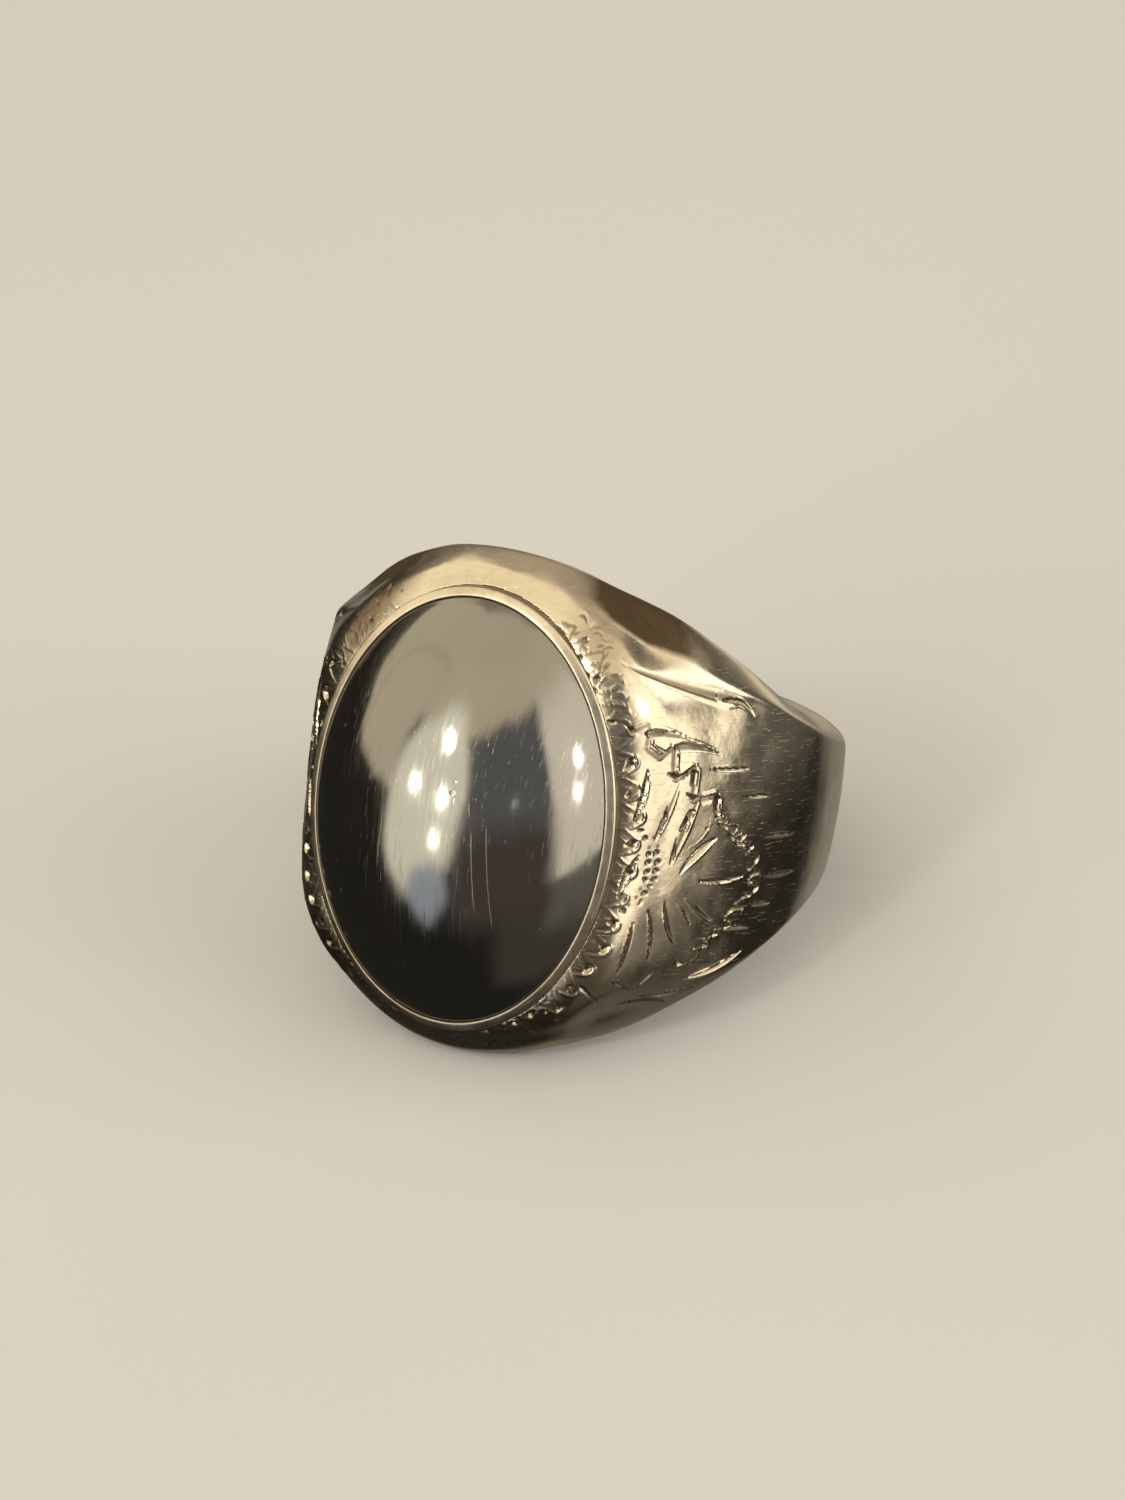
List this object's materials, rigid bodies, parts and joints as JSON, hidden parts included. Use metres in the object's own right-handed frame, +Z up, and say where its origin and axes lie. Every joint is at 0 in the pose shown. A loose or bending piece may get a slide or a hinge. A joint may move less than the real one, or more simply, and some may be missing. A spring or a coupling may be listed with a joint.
{
  "type": "signet-style stone ring",
  "caption": "Heavy silver finger ring, broad tapered head with an oval dark cabochon in a rubbed-over bezel, engraved shoulders and a narrow shank.",
  "frame": {"origin": "centre of the finger bore, half-way along it and on its axis", "axes": "+Z up with the ring lying on its side, the stone facing -Y and a little up, X across the ring; the bore's axis leans back from +Z towards +Y in the YZ plane"},
  "size_m": [0.0236, 0.0278, 0.0203],
  "materials": {
    "aged_silver": "aged silver, satin with fine scratches and darkened cuts",
    "plain_silver": "plain silver, hidden inside the setting",
    "bezel_silver": "rubbed bright silver",
    "cement": "dull setting cement",
    "hematite": "polished, nearly black, metallic"
  },
  "bodies": {
    "root": {"head": "aged_silver", "left_shoulder": "aged_silver", "right_shoulder": "aged_silver", "shank": "aged_silver", "base_plate": "plain_silver", "bearing": "plain_silver", "setting_cement": "cement", "bezel": "bezel_silver", "cabochon": "hematite"}
  },
  "joints": []
}
